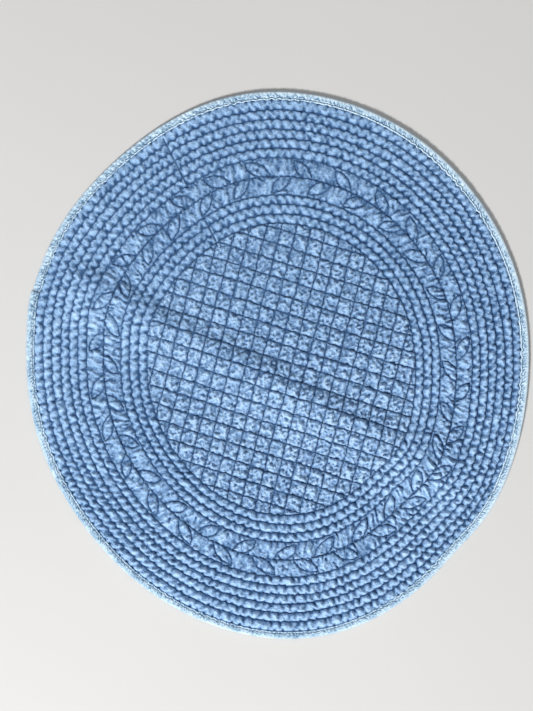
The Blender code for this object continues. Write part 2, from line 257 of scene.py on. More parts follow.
def joinLines():
    angle = sewing["joinRowAngle"]
    return [(polar(np.array([roundRadius(share, angle) for share in np.linspace(*span, 40)]), angle), False)
            for span in sewing["joinRowSpans"]]


# Puckers: washing has shrunk the thread, so short creases run into the cloth from every line of sewing
# and each line is drawn a little towards its creases.
puckers = {
    # shortest and longest crease, lean, how far the line is drawn aside
    "channels": (3.5 * mm, 5.2 * mm, 0.09, 0.50 * mm),
    "channelPitch": 6.1 * mm, "unevenness": 0.14, "countSwing": 3,
    # half the width where a channel's crease starts, how it varies, share of the crease so opened
    "mouth": 1.05 * mm, "mouths": (0.65, 1.2), "throat": 0.6, "leastMouth": 0.1 * mm,
    # creases from a channel's outer line are this much shorter and narrower, by angle
    "fromOutside": ((0, 0.60), (40, 0.70), (80, 0.60), (120, 0.50), (175, 0.42), (215, 0.68), (255, 0.40),
                    (320, 0.45), (360, 0.60)),
    "reach": ((0, 1), (185, 1), (215, 1.25), (250, 1), (360, 1)),   # and all of them this much longer
    # how much wider than their pitch they stand, by angle
    "crowding": ((15, 0.96), (45, 0.91), (75, 1.10), (105, 1.02), (135, 0.97), (165, 1.12), (195, 0.96),
                 (225, 0.93), (255, 1.07), (285, 0.98), (315, 0.98), (345, 1.07)),
    # they lean with the grain of the cloth, by angle
    "grain": ((0, 0.35), (45, -0.28), (90, 0.05), (135, -0.2), (180, 0.3), (225, -0.65), (255, -0.3),
              (275, 0), (315, 0.15), (360, 0.35)),
    # and beside the leaves and in the squares: pitch along the line first, softness last
    "band": (2.4 * mm, 3.0 * mm, 7.0 * mm, 0.45, 0.35 * mm, 2.2),
    "leaves": (3.4 * mm, 1.2 * mm, 3.0 * mm, 0.60, 0.15 * mm, 2.0),
    "squares": (3.6 * mm, 1.0 * mm, 2.4 * mm, 0.80, 0.22 * mm, 1.5),
    "evenness": 0.3, "commonLean": 0.6, "leanSwing": 0.8,
    # loose creases in the band: pitch, shortest and longest, lean from the radius, spread
    "bandCreases": (7.5 * mm, 2.4 * mm, 6.0 * mm, 0.45, 0.35),
    "looseField": 160 * mm, "looseShift": 0.42, "looseRoom": 1.1 * mm, "looseBend": 0.12,
    "looseSoftness": (0.4, 1.8),
    "lineStep": 0.5 * mm, "pullWidth": 1.4 * mm, "bend": 0.05,
    "stride": 0.4 * mm, "room": 0.75 * mm,      # creases stop this short of the next line
    "shallow": 0.4 * mm, "tipLift": 0.9 * mm,
}


def leftOf(points, closed):
    ahead = np.roll(points, -1, 0) - np.roll(points, 1, 0) if closed else np.gradient(points, axis=0)
    return np.column_stack((-ahead[:, 1], ahead[:, 0])) / (np.hypot(*ahead.T)[:, None] + 1e-12)


def turned(vectors, turn):
    return np.column_stack((vectors[:, 0] * np.cos(turn) - vectors[:, 1] * np.sin(turn),
                            vectors[:, 0] * np.sin(turn) + vectors[:, 1] * np.cos(turn)))


def drawAside(line, at, side, turn, length, drawn, chance):
    # moves a line towards its creases and returns it with the roots of these creases, one in each row:
    # place, heading, length, bend, softness and half the width where it starts
    points, closed = evenly(line[0], puckers["lineStep"], line[1]), line[1]
    left, count = leftOf(points, closed), len(at)
    spots = at * len(points)
    away = np.abs(np.arange(len(points))[:, None] - spots)
    away = np.minimum(away, len(points) - away) if closed else away
    pull = (np.exp(-(away * puckers["lineStep"] / puckers["pullWidth"]) ** 2) * side).sum(1)
    points = points + left * (drawn * pull)[:, None]
    index = spots.astype(int).clip(0, len(points) - 1)
    heading = turned(left[index] * side[:, None], turn)
    bend = chance.normal(0, puckers["bend"], count)
    roots = (points[index], heading, length, bend, chance.uniform(0, 1, count), np.zeros(count))
    return (points, closed), np.column_stack(roots)


def gatherLines(lines, kind, seed):
    # creases to both sides in turn
    pitch, shortest, longest, lean, drawn, softness = puckers[kind]
    chance, moved, roots = np.random.default_rng(seed), [], []
    for points, closed in lines:
        count = max(2, round(len(evenly(points, puckers["lineStep"], closed)) * puckers["lineStep"] / pitch))
        at = (np.arange(count) + 0.5 + chance.uniform(-1, 1, count) * puckers["evenness"]) / count
        side = np.where(np.arange(count) % 2, 1.0, -1.0)
        turn = lean * (puckers["commonLean"] + chance.normal(0, puckers["leanSwing"], count))
        length = chance.uniform(shortest, longest, count)
        line, found = drawAside((points, closed), at, side, turn, length, drawn, chance)
        found[:, 6] *= softness
        moved.append(line)
        roots.append(found)
    return moved, roots


def crowded(share):
    # moves even spots round a line closer together where the cloth is gathered more
    angles, pitches = np.array(puckers["crowding"]).T
    spots = np.arange(361)
    run = np.concatenate(([0], np.cumsum(1 / np.interp(spots[1:] - 0.5, angles, pitches, period=360))))
    return np.interp(share % 1, run / run[-1], spots / 360) % 1


def byAngle(at, table):
    return np.interp(at * 360, *zip(*puckers[table]))


def gatherChannels(lines, seed):
    # a channel is gathered from its inner line and, half a pitch on, from its outer line, so its crest snakes
    shortest, longest, lean, drawn = puckers["channels"]
    chance = np.random.default_rng(seed)
    wanted = [[] for line in lines]
    for outer in range(len(lines) - 1):
        around = len(evenly(lines[outer + 1][0], mm, True)) * mm
        swing = puckers["countSwing"]
        count = round(around / puckers["channelPitch"]) + chance.integers(-swing, swing + 1)
        first = chance.uniform(0, 1)
        for line, side, offset in ((outer + 1, -1.0, 0.0), (outer, 1.0, 0.5)):
            spots = np.arange(count) + first + offset + chance.normal(0, puckers["unevenness"], count)
            at = crowded(spots / count)
            turn = byAngle(at, "grain") + chance.normal(0, lean, count)
            share = byAngle(at, "fromOutside") if side > 0 else np.ones(count)
            length = chance.uniform(shortest, longest, count) * share * byAngle(at, "reach")
            wanted[line].append(np.stack((at, np.full(count, side), turn, length, share)))
    moved, roots = [], []
    for line, parts in zip(lines, wanted):
        at, side, turn, length, share = np.concatenate(parts, axis=1)
        line, found = drawAside(line, at, side, turn, length, drawn, chance)
        found[:, 7] = puckers["mouth"] * share * chance.uniform(*puckers["mouths"], len(at))
        moved.append(line)
        roots.append(found)
    return moved, roots


def looseCreases(seed):
    # creases that stand in the leaf band away from its lines
    pitch, shortest, longest, lean, spread = puckers["bandCreases"]
    chance, field = np.random.default_rng(seed), puckers["looseField"]
    x, y = np.meshgrid(np.arange(-field, field, pitch), np.arange(-field, field, pitch))
    spots = np.stack((x.ravel(), y.ravel()), -1)
    spots += chance.uniform(-puckers["looseShift"], puckers["looseShift"], spots.shape) * pitch
    angle, radius = angleOf(spots), radiusOf(spots)
    spots = spots[(radius < bandOuter(angle) - mm) & (radius > bandInner(angle) + mm)]
    spots = spots[treeDistance(lineTree, spots) > puckers["looseRoom"]]
    count = len(spots)
    turn = lean + chance.normal(0, spread, count) + np.radians(angleOf(spots))
    length, bend = chance.uniform(shortest, longest, count), chance.normal(0, puckers["looseBend"], count)
    softness = chance.uniform(*puckers["looseSoftness"], count)
    return np.column_stack((spots, np.cos(turn), np.sin(turn), length, bend, softness, np.zeros(count)))


def treeOf(points):
    tree = kdtree.KDTree(len(points))
    for index, place in enumerate(points.tolist()):
        tree.insert(place, index)
    tree.balance()
    return tree


def treeDistance(tree, points):
    return np.array([tree.find((x, y, 0))[2] for x, y in points.tolist()])


def flatPoints(lines, spacing):
    points = np.vstack([evenly(line, spacing, closed) for line, closed in lines])
    return np.column_stack((points, np.zeros(len(points))))


def growCreases(roots):
    # walks every crease into the cloth, with points to both sides where it is open; the third number of each
    # point rises towards the crease's shallow tip
    place, heading = roots[:, :2], roots[:, 2:4]
    length, bend, shallow, mouth = roots[:, 4:].T
    growing, walked, beside = np.ones(len(roots), bool), [], []
    for step in range(int(length.max() / puckers["stride"])):
        done = step * puckers["stride"] / length
        growing = growing & (done < 1)
        if step > 2:
            growing[growing] = treeDistance(lineTree, place[growing]) > puckers["room"]
        level = puckers["shallow"] * shallow + puckers["tipLift"] * done**2
        walked.append(np.column_stack((place, level))[growing])
        gape = mouth * (1 - done / puckers["throat"])
        opened = growing & (gape > puckers["leastMouth"])
        for side in (-1, 1):
            aside = place + np.column_stack((-heading[:, 1], heading[:, 0])) * (side * gape)[:, None]
            beside.append(np.column_stack((aside, level))[opened])
        heading = np.column_stack((heading[:, 0] - heading[:, 1] * bend, heading[:, 1] + heading[:, 0] * bend))
        place = place + heading * puckers["stride"]
    return np.vstack(walked), np.vstack(beside)


seamLine = [(polar(seamRadius(everyAngle), everyAngle), True)]
rounds = roundLines()
outerGroup, outerRoots = gatherChannels(seamLine + rounds[:6], 31)
innerGroup, innerRoots = gatherChannels(rounds[7:], 32)
stemLine, stemRoots = gatherLines(rounds[6:7], "band", 33)
besideBand = gatherLines([rounds[5], rounds[7]], "band", 34)[1]
besideSquares = gatherLines([rounds[10]], "squares", 35)[1]
sewnRounds = outerGroup[1:] + stemLine + innerGroup
sewnLeaves, leafRoots = gatherLines(leafLines(), "leaves", 36)
sewnSquares, squareRoots = gatherLines(squareLines(), "squares", 37)
sewnJoins = joinLines()
allLines = sewnRounds + sewnLeaves + sewnSquares + sewnJoins
lineTree = treeOf(flatPoints(allLines, 0.35 * mm))
# beside the band and the squares only the creases on that side are wanted
bandRoots = [roots[keep::2] for roots, keep in zip(besideBand, (1, 0))] + [besideSquares[0][1::2]]
allRoots = outerRoots + innerRoots + stemRoots + leafRoots + squareRoots + bandRoots
creases, besideCreases = growCreases(np.vstack(allRoots + [looseCreases(42)]))
creaseTree = treeOf(np.vstack((creases, besideCreases)))
print("stage: sewing lines and creases", len(allLines), len(creases))

puffs = {
    "stitchHeight": 2.0 * mm,
    # these are for the channels, for the leaf band and for the squares
    "height": (2.8 * mm, 2.2 * mm, 1.85 * mm),
    "shoulder": (1.25 * mm, 1.05 * mm, 0.76 * mm),      # how soon the cloth swells beside a line or crease
    "crumpling": (0.30, 1.15, 1.1),
    "paleness": (0.955, 0.84, 0.85),                    # on top of the puffs
    "lineShade": (0.38 * mm, 0.36 * mm, 0.38 * mm),     # half width of the shade beside a line
    "roughness": (0.6, 0.6, 0.95),
    "outerPaleness": 0.06,                              # the channels outside the leaves are paler by this
    # the cloth is painted paler on one side, as painted light, and its puffs are plumper on one side: how much,
    # where, radius inside which it dies out
    "paintedLightSide": (0.10, 285.0, 60 * mm), "plumperSide": (0.28, 312.0, 80 * mm),
    "roundness": 1.15, "shadeRoundness": 1.3,
    "creaseShade": 0.66,                                # the shade in a crease, as a share of its shoulder
    # the paleness follows the crumpling: paler where the cloth rises, as on faded crests, and darker where it
    # sinks, as painted shade
    "crumpledTone": 0.5,                                # how much of the crumpling shows in the paleness
    # crumpling: knots round the band and the size across it, along and across the squares' diagonal, the fine one
    "bandKnots": 512, "bandCrumple": 5.5 * mm, "bandLean": 0.35,
    "squareCrumple": (2.5 * mm, 1.5 * mm), "fineCrumple": 1.4 * mm, "channelCrumple": 2.4 * mm,
    # shares of the coarse and the fine one
    "bandMix": (0.75, 0.25), "squareMix": (1.6, 1.1), "squareMost": 0.75, "channelMix": (1.0, 0.6),
}


def crumpling(points, angle, radius, band, middle):
    x, y = points.T
    fine = clothNoise(x / puffs["fineCrumple"], y / puffs["fineCrumple"], 24)

    def mixed(kind, coarse):
        coarseShare, fineShare = puffs[kind]
        return coarseShare * coarse + fineShare * fine

    slant = (radius - stemRadius(angle)) * puffs["bandLean"]
    knots = angle / 360 * puffs["bandKnots"]
    knots = knots + slant / (plan["meanRadius"] * plan["stemRound"]) * puffs["bandKnots"] / math.tau
    inBand = mixed("bandMix", clothNoise(knots, radius / puffs["bandCrumple"], 25))
    length, width = puffs["squareCrumple"]
    ridges = clothNoise((x + y) * math.sqrt(0.5) / length, (y - x) * math.sqrt(0.5) / width, 23)
    inSquares = np.tanh(mixed("squareMix", ridges)) * puffs["squareMost"]
    x, y = x / puffs["channelCrumple"], y / puffs["channelCrumple"]
    inChannels = mixed("channelMix", clothNoise(x, y, 21))
    return np.where(band, inBand, np.where(middle, inSquares, inChannels))


def sideSwing(name, angle, radius):
    swing, most, middle = puffs[name]
    return 1 + swing * cosine(angle - most) * np.minimum(1, radius / middle)


def swell(distance, width, roundness):
    return 1 - np.exp(-(distance / width) ** roundness)


def relief(points, toLine, toCrease):
    # height of the cloth above its stitching, how faded it is there and how rough; the tone also carries painted
    # shade beside lines and in creases, and painted light on one side
    angle, radius = angleOf(points), radiusOf(points)
    outside, middle = radius > bandOuter(angle), radius < middleEdge(angle)
    band = (radius < bandOuter(angle)) & (radius > bandInner(angle))

    def here(name):
        inChannels, inBand, inSquares = puffs[name]
        return np.where(band, inBand, np.where(middle, inSquares, inChannels))

    crumpled = here("crumpling") * crumpling(points, angle, radius, band, middle)
    crown = here("height") * (1 + crumpled) * sideSwing("plumperSide", angle, radius)
    nearest = np.minimum(np.minimum(toLine, toCrease), np.abs(seamRadius(angle) - radius))
    lift = crown * swell(nearest, here("shoulder"), puffs["roundness"])
    # painted shade: the tone darkens beside every line of sewing and in every crease, over dye that is kept darker
    # there
    tone = swell(toLine, here("lineShade"), puffs["shadeRoundness"])
    tone = tone * swell(toCrease / here("shoulder"), puffs["creaseShade"], puffs["roundness"])
    # painted light: the colour is made paler towards one side, where the light fell more strongly
    pale = (here("paleness") + puffs["outerPaleness"] * outside) * sideSwing("paintedLightSide", angle, radius)
    return lift, tone * pale * (1 + puffs["crumpledTone"] * crumpled), here("roughness")


# The cloth is shown as a ring and a disc that meet on the stem's line of stitching, to keep each piece light.
cloth = {
    "spacing": 0.86 * mm, "notch": 0.40 * mm, "backSpacing": 2.4 * mm, "backNotch": 1.2 * mm,
    "field": 440 * mm, "fieldStart": -215 * mm, "spread": 205 * mm, "looseness": 0.16,
    "stations": 1080, "sharpAngle": 75,
    "tongueInset": 1.3 * mm, "tongueDepth": 9 * mm,     # the cloth's edge, where the binding holds it
    "stemGap": 0.01 * mm,
    # painted shade along the lines of sewing and in the creases: half widths, and how dark a crease is painted
    "lineWidth": 0.27 * mm, "creaseWidth": 0.5 * mm, "creaseDarkness": 0.56,
    # the old fold: paler worn crest, painted light and shade on its flanks, and the step over which its slope is
    # measured
    "crestWear": 0.06, "dropShade": 0.8, "slopeStep": 4 * mm,
    # the backing is drawn up along each line, and rises to the binding at its edge
    "backPull": 0.4 * mm, "backPullWidth": 1.2 * mm, "backEdge": 6.5 * mm, "backEdgeWidth": 3 * mm,
    "backEdgeRise": 1.12 * mm,
}
lip = {
    "waves": ((236, 0.22 * mm, 0), (203, 0.26 * mm, 70), (151, 0.22 * mm, 200)),    # times round, swing, turn
    "steady": 0.6, "swing": 0.4, "swingTimes": 7, "swingTurn": 40,
    "narrowing": 0.8 * mm, "narrowAngle": 262.0, "narrowSpread": 42.0,
    # how the lip holds the cloth down: its edge, the cloth's height there, its slope, and what lies well under it
    "edge": 6.2 * mm, "hold": 2.7 * mm, "slope": 1.3, "covered": 4 * mm, "coveredHeight": 2.4 * mm,
}


def clearSpots(placed, wanted, room):
    # which of the wanted points have no placed point nearer than the room
    cell = room / 3
    size = int(cloth["field"] / cell)
    taken = np.zeros((size, size), bool)
    spot = ((placed - cloth["fieldStart"]) / cell).astype(int)
    for i in range(-3, 4):
        for j in range(-3, 4):
            if i * i + j * j <= 10:
                taken[spot[:, 0] + i, spot[:, 1] + j] = True
    spot = ((wanted - cloth["fieldStart"]) / cell).astype(int)
    return wanted[~taken[spot[:, 0], spot[:, 1]]]


def onePerCell(points, size):
    key = np.round(points / size).astype(int)
    return points[np.sort(np.unique(key, axis=0, return_index=True)[1])]


def scatter(lines, rings, spacing, notch, inside):
    # points on every sewn line, just beside it and along the creases, and an even spread between them
    onLine = onePerCell(np.vstack([evenly(points, spacing, closed) for points, closed in lines]), spacing * 0.45)
    beside = np.vstack([evenly(points + leftOf(points, closed) * side * notch, spacing, closed)
                        for points, closed in lines for side in (-1, 1)])
    onLine = clearSpots(rings, onLine, notch * 0.7)
    placed = np.vstack((rings, onLine))
    beside = onePerCell(clearSpots(placed, beside, notch * 0.7), spacing * 0.45)
    placed = np.vstack((placed, beside))
    folds = onePerCell(clearSpots(placed, creases[:, :2], notch * 0.9), spacing * 0.8)
    placed = np.vstack((placed, folds))
    spread = cloth["spread"]
    x, y = np.meshgrid(np.arange(-spread, spread, spacing), np.arange(-spread, spread, spacing * 0.866))
    x = x + (np.arange(len(x)) % 2 * spacing / 2)[:, None]
    loose = np.stack((x.ravel(), y.ravel()), -1)
    looseness = cloth["looseness"]
    loose += np.random.default_rng(5).uniform(-looseness, looseness, loose.shape) * spacing
    points = np.vstack((onLine, beside, folds, clearSpots(placed, loose, spacing * 0.6)))
    return points[inside(points, 0.3 * mm)]


def closedCloth(name, lines, spacing, notch, skin, outerEdge, innerEdge, levels, facesUp):
    # a puckered skin over a plain flat one, between two edges given as a radius for every angle
    stations = np.arange(cloth["stations"]) * 360 / cloth["stations"]
    rings = [polar(edge(stations), stations) for edge in (outerEdge, innerEdge) if edge]

    def inside(points, room):
        angle, radius = angleOf(points), radiusOf(points)
        return (radius < outerEdge(angle) - room) & (radius > (innerEdge(angle) + room if innerEdge else -1))

    points = np.vstack(rings + [scatter(lines, np.vstack(rings), spacing, notch, inside)])
    found = delaunay_2d_cdt([Vector(p) for p in points.tolist()], [], [], 0, 1e-7, True)
    faces = np.array([origin[0] for origin in found[3]])[np.array(found[2])]
    faces = faces[inside(points[faces].mean(1), 0.0)]
    first, second = points[faces[:, 1]] - points[faces[:, 0]], points[faces[:, 2]] - points[faces[:, 0]]
    clockwise = first[:, 0] * second[:, 1] - first[:, 1] * second[:, 0] < 0
    faces[clockwise] = faces[clockwise][:, ::-1]
    height, attributes = skin(points)
    places = [np.column_stack((points, height))]
    count, ringSize = len(points), len(stations)
    walls = [(rings[0], levels[0]), (rings[0] * (1 - cloth["tongueDepth"] / plan["meanRadius"]), levels[1])]
    walls += [(rings[1], levels[1])] if innerEdge else []
    rows = [np.arange(ringSize)]
    for ring, level in walls:
        places.append(np.column_stack((ring, np.full(ringSize, level))))
        rows.append(count + np.arange(ringSize))
        count += ringSize
    rows += [ringSize + np.arange(ringSize)] if innerEdge else []
    polygons = faces.tolist()
    for near, far in zip(rows, rows[1:]):
        polygons += np.stack((near, far, np.roll(far, -1), np.roll(near, -1)), -1).tolist()
    polygons += [] if innerEdge else [rows[-1][::-1].tolist()]
    if not facesUp:
        polygons = [polygon[::-1] for polygon in polygons]
    places = np.vstack(places)
    places[:, :2] -= boxMiddle
    plain = np.zeros(len(places) - len(points))
    attributes = {label: np.concatenate((values, plain)) for label, values in attributes.items()}
    return meshPiece(name, places, polygons, attributes)


def newPiece(name, places, edges, polygons, attributes):
    mesh = bpy.data.meshes.new(name)
    mesh.from_pydata(np.asarray(places).tolist(), edges, polygons)
    mesh.update()
    for label, values in attributes.items():
        mesh.attributes.new(label, "FLOAT", "POINT").data.foreach_set("value", np.asarray(values, np.float32))
    piece = bpy.data.objects.new(name, mesh)
    bpy.context.scene.collection.objects.link(piece)
    return piece


def meshPiece(name, places, polygons, attributes):
    piece = newPiece(name, places, [], polygons, attributes)
    piece.data.shade_smooth()
    piece.data.set_sharp_from_angle(angle=math.radians(cloth["sharpAngle"]))
    return piece


def lipWave(angle):
    # how far the lip is pushed outwards: slowly at the bottom, and in waves where the cloth swells
    waves = sum(swing * cosine(times * angle + turn) for times, swing, turn in lip["waves"])
    waves = waves * (lip["steady"] + lip["swing"] * cosine(lip["swingTimes"] * angle + lip["swingTurn"]))
    return waves + lip["narrowing"] * swelling(angle, lip["narrowAngle"], lip["narrowSpread"])


def foldWearAndShading(points):
    # the old fold is worn paler along its crest; the flank rising to the crest is painted lighter and the flank
    # beyond it painted darker, as painted light and shade
    turn = math.radians(plan["foldDirection"])
    rise, step = foldRise(points), cloth["slopeStep"]
    drop = (foldRise(points + np.array((-math.sin(turn), math.cos(turn))) * step) - rise) / step
    return cloth["crestWear"] * rise / plan["foldRise"] + cloth["dropShade"] * drop


def topSkin(points):
    toLine, toCrease = treeDistance(lineTree, points), treeDistance(creaseTree, points)
    lift, tone, rough = relief(points, toLine, toCrease)
    angle, radius = angleOf(points), radiusOf(points)
    rim = rimRadius(angle) + lipWave(angle)
    height = puffs["stitchHeight"] + lift + foldRise(points)
    # the binding's lip holds the cloth down
    height = np.minimum(height, lip["hold"] + np.maximum(0, rim - lip["edge"] - radius) * lip["slope"])
    height = np.where(radius > rim - lip["covered"], np.minimum(height, lip["coveredHeight"]), height)
    # painted shade in the valley along each line and in each crease
    creaseShading = cloth["creaseDarkness"] * np.exp(-(toCrease / cloth["creaseWidth"]) ** 2)
    paintedShade = np.maximum(np.exp(-(toLine / cloth["lineWidth"]) ** 2), creaseShading)
    return height, {"rise": np.clip(tone * (1 + foldWearAndShading(points)), 0, 1.2), "seam": paintedShade, "rough": rough}


def backSkin(points):
    # the backing lies on the table and is drawn up a little along each line
    pulled = np.exp(-(treeDistance(lineTree, points) / cloth["backPullWidth"]) ** 2)
    pastEdge = radiusOf(points) - rimRadius(angleOf(points)) + cloth["backEdge"]
    edge = smoothStep(-cloth["backEdgeWidth"], 0, pastEdge)
    height = cloth["backPull"] * pulled * (1 - edge) + cloth["backEdgeRise"] * edge
    # painted shade along the lines, where the backing is drawn up
    return height, {"rise": 1 - pulled, "seam": pulled, "rough": 1 - edge}


def tongueEdge(angle):
    return rimRadius(angle) - cloth["tongueInset"]


def stemOuter(angle):
    return stemRadius(angle) + cloth["stemGap"]


def stemInner(angle):
    return stemRadius(angle) - cloth["stemGap"]


outerLines = sewnRounds[:6] + sewnLeaves[0::4] + sewnLeaves[1::4] + seamLine + sewnJoins[:1]
innerLines = sewnRounds[7:] + sewnLeaves[2::4] + sewnLeaves[3::4] + sewnSquares + sewnJoins[1:]
clothRing = closedCloth("clothRing", outerLines, cloth["spacing"], cloth["notch"], topSkin,
                        tongueEdge, stemOuter, (1.7 * mm, 1.1 * mm), True)
clothDisc = closedCloth("clothDisc", innerLines, cloth["spacing"], cloth["notch"], topSkin,
                        stemInner, None, (1.1 * mm, 1.1 * mm), True)
backingCloth = closedCloth("backingCloth", allLines, cloth["backSpacing"], cloth["backNotch"], backSkin,
                           tongueEdge, None, (1.55 * mm, 0.95 * mm), False)
for piece in (clothRing, clothDisc, backingCloth):
    print("stage:", piece.name, sum(len(polygon.vertices) - 2 for polygon in piece.data.polygons), "triangles")


# Helpers for trees of nodes, in materials and in Geometry Nodes.

def newNode(tree, kind, values, settings):
    node = tree.nodes.new(kind)
    for key, value in settings.items():
        setattr(node, key, value)
    for key, value in dict(values).items():
        if isinstance(value, bpy.types.NodeSocket):
            tree.links.new(value, node.inputs[key])
        else:
            node.inputs[key].default_value = value
    return node


def shaderNode(tree, kind, values=(), output=0, **settings):
    return newNode(tree, "ShaderNode" + kind, values, settings).outputs[output]


def geometryNode(tree, kind, values=(), output=0, **settings):
    return newNode(tree, "GeometryNode" + kind, values, settings).outputs[output]


def operations(tree):
    def maths(operation, *values):
        return shaderNode(tree, "Math", enumerate(values), operation=operation)

    return maths, partial(maths, "MULTIPLY"), partial(maths, "ADD")


def newTree(name, sockets):
    tree = bpy.data.node_groups.new(name, "GeometryNodeTree")
    tree.interface.new_socket("Geometry", in_out="OUTPUT", socket_type="NodeSocketGeometry")
    for label, kind in (("Geometry", "Geometry"), *sockets, ("Material", "Material")):
        tree.interface.new_socket(label, in_out="INPUT", socket_type="NodeSocket" + kind)
    return tree, tree.nodes.new("NodeGroupInput").outputs, tree.nodes.new("NodeGroupOutput").inputs


def finishTree(tree, geometry, inputs, outputs):
    smooth = geometryNode(tree, "SetShadeSmooth", {"Geometry": geometry})
    real = geometryNode(tree, "RealizeInstances", {"Geometry": smooth})
    dressed = geometryNode(tree, "SetMaterial", {"Geometry": real, "Material": inputs["Material"]})
    tree.links.new(dressed, outputs["Geometry"])
    return tree


def runTree(piece, tree, values):
    # sets the inputs by identifier, bakes the result into a plain mesh and removes the modifier
    modifier = piece.modifiers.new(tree.name, "NODES")
    modifier.node_group = tree
    identifiers = {item.name: item.identifier for item in tree.interface.items_tree if item.in_out == "INPUT"}
    for label, value in values.items():
        modifier[identifiers[label]] = value
    bpy.context.view_layer.update()
    evaluated = piece.evaluated_get(bpy.context.evaluated_depsgraph_get())
    baked = bpy.data.meshes.new_from_object(evaluated)
    piece.modifiers.remove(modifier)
    piece.data = baked
    piece.data.name = piece.name
    return piece


def pathPiece(name, lines, attributes):
    places, edges, start = [], [], 0
    for points, closed in lines:
        places.append(points)
        count = len(points)
        edges += [(start + k, start + k + 1) for k in range(count - 1)]
        if closed:
            edges.append((start + count - 1, start))
        start += count
    return newPiece(name, np.vstack(places), edges, [], attributes)


def newMaterial(name, roughness, sheen):
    material = bpy.data.materials.new(name)
    material.use_nodes = True
    shader = material.node_tree.nodes["Principled BSDF"]
    for socket, value in (("Roughness", roughness), ("Sheen Weight", sheen), ("Sheen Roughness", 0.6),
                          ("Specular IOR Level", 0.1)):
        shader.inputs[socket].default_value = value
    return material, material.node_tree, shader


def dress(tree, shader, colour, bumps):
    # colours the shader and lays bumps over each other: height, strength, distance
    tree.links.new(colour, shader.inputs["Base Color"])
    under = {}
    for height, strength, distance in bumps:
        values = {"Height": height, "Strength": strength, "Distance": distance, **under}
        under = {"Normal": shaderNode(tree, "Bump", values)}
    for socket, normal in under.items():
        tree.links.new(normal, shader.inputs[socket])


def objectPlace(tree):
    return shaderNode(tree, "TexCoord", output="Object")


def attributeOf(tree, label):
    return shaderNode(tree, "Attribute", output="Fac", attribute_name=label)


def noise(tree, vector, scale, detail, roughness=0.5):
    values = {"Vector": vector, "Scale": scale, "Detail": detail, "Roughness": roughness}
    return shaderNode(tree, "TexNoise", values, "Fac")


def ranged(tree, value, start, end):
    values = {"Value": value, "From Min": start[0], "From Max": start[1], "To Min": end[0], "To Max": end[1]}
    return shaderNode(tree, "MapRange", values, "Result")


def ramp(tree, factor, stops):
    node = newNode(tree, "ShaderNodeValToRGB", {"Fac": factor}, {})
    for element, (position, colour) in zip(node.color_ramp.elements, (stops[0], stops[-1])):
        element.position, element.color = position, (*colour, 1)
    for position, colour in stops[1:-1]:
        node.color_ramp.elements.new(position).color = (*colour, 1)
    return node.outputs["Color"]


def darkened(tree, amount, colour, shade):
    return shaderNode(tree, "Mix", {"Factor": amount, "A": colour, "B": (*shade, 1)}, "Result", data_type="RGBA")


def weaveHeight(tree, vector, threadsPerMetre):
    # plain weave: two crossed sets of threads, each going over and under
    maths, times = operations(tree)[:2]
    parts = newNode(tree, "ShaderNodeSeparateXYZ", {"Vector": vector}, {}).outputs
    return maths("MAXIMUM", *[maths("ABSOLUTE", maths("SINE", times(parts[axis], threadsPerMetre * math.pi)))
                              for axis in ("X", "Y")])


clothLook = {
    "name": "washedBlueQuilting",
    # rise of the cloth, colour: deep in the gathers, where the dye is kept and shade is painted, faded on the
    # crests
    "fadingAndShade": ((0.0, (0.028, 0.075, 0.170)), (0.28, (0.085, 0.175, 0.335)), (0.52, (0.205, 0.345, 0.560)),
               (0.8, (0.340, 0.530, 0.790)), (1.0, (0.440, 0.630, 0.870))),
    "roughness": 0.95, "sheen": 0.04, "fadeLevel": 0.8,
    "seamShadeColour": (0.014, 0.055, 0.155), "seamShade": 0.9,
    # noise: scale, detail, roughness, how much it fades the cloth
    "mottle": (230.0, 3.0, 0.5, 0.45), "drift": (14.0, 3.0, 0.5, 0.35), "fleck": (620.0, 2.0, 0.7, 0.9),
    "threadsPerMetre": 2300,
    # bump: strength, distance
    "weaveBump": (0.35, 0.08 * mm), "fleckBump": (1.0, 2.0 * mm), "mottleBump": (0.9, 0.6 * mm),
}


def quiltMaterial(look):
    material, tree, shader = newMaterial(look["name"], look["roughness"], look["sheen"])
    maths, times, plus = operations(tree)
    # tone: faded crests, painted shade beside lines and in creases, painted light on one side, and random mottling
    place, wearAndPaintedLight, noises = objectPlace(tree), attributeOf(tree, "rise"), {}
    for name in ("mottle", "drift", "fleck"):
        *kind, share = look[name]
        noises[name] = noise(tree, place, *kind)
        wearAndPaintedLight = plus(wearAndPaintedLight, times(maths("SUBTRACT", noises[name], 0.5), share))
    colour = ramp(tree, times(wearAndPaintedLight, look["fadeLevel"]), look["fadingAndShade"])
    # painted shade along the lines of sewing and in the creases, in deep navy
    colour = darkened(tree, times(attributeOf(tree, "seam"), look["seamShade"]), colour, look["seamShadeColour"])
    weave = weaveHeight(tree, place, look["threadsPerMetre"])
    crumple = times(noises["fleck"], attributeOf(tree, "rough"))
    dress(tree, shader, colour, ((weave, *look["weaveBump"]), (crumple, *look["fleckBump"]),
                                 (noises["mottle"], *look["mottleBump"])))
    return material


quilting = quiltMaterial(clothLook)
clothRing.data.materials.append(quilting)
clothDisc.data.materials.append(quilting)
backLook = dict(clothLook, name="blueBacking",
                fadingAndShade=((0.0, (0.07, 0.15, 0.29)), (0.5, (0.16, 0.29, 0.48)), (1.0, (0.24, 0.39, 0.59))))
backingCloth.data.materials.append(quiltMaterial(backLook))


